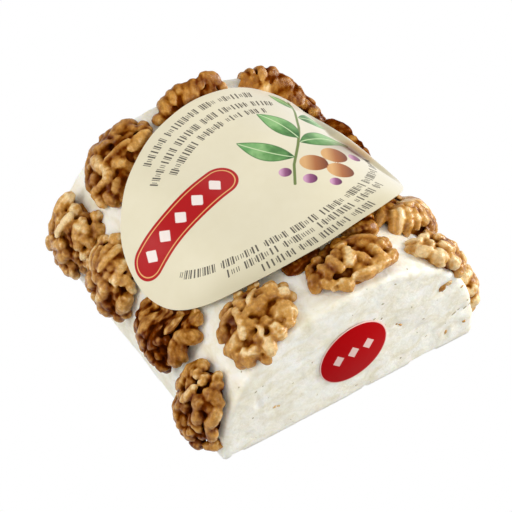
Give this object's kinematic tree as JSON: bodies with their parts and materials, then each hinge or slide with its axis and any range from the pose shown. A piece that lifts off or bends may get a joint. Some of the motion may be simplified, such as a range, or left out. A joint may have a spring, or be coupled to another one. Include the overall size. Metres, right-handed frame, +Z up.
{
  "type": "walnut processed cheese",
  "caption": "Tunnel-shaped loaf of processed cheese studded with walnut halves, with an oval paper label laid over its top and a round red seal on its end.",
  "frame": {"origin": "middle of the loaf's flat base", "axes": "+Z up out of the base, +Y along the loaf towards its plain end, +X across the loaf to the right of someone facing the end with the round seal"},
  "size_m": [0.1408, 0.132, 0.0714],
  "materials": {
    "cheese": "soft ivory processed cheese, faintly moist and translucent, with small walnut crumbs in it",
    "walnut": "walnut kernel with a thin golden-brown skin, paler on its ridges and dark in its folds",
    "label_paper": null,
    "seal_paper": "glossy red paper with a thin lighter rim"
  },
  "bodies": {
    "root": {"cheese": "cheese", "label": "label_paper", "sticker": "seal_paper", "walnut_left_1": "walnut", "walnut_left_2": "walnut", "walnut_left_3": "walnut", "walnut_left_4": "walnut", "walnut_shoulder_1": "walnut", "walnut_shoulder_2": "walnut", "walnut_crown_1": "walnut", "walnut_crown_2": "walnut", "walnut_crown_3": "walnut", "walnut_tucked_1": "walnut", "walnut_tucked_2": "walnut", "walnut_right_1": "walnut", "walnut_right_2": "walnut", "walnut_right_3": "walnut", "walnut_right_4": "walnut", "walnut_right_5": "walnut", "walnut_right_6": "walnut"}
  },
  "joints": []
}
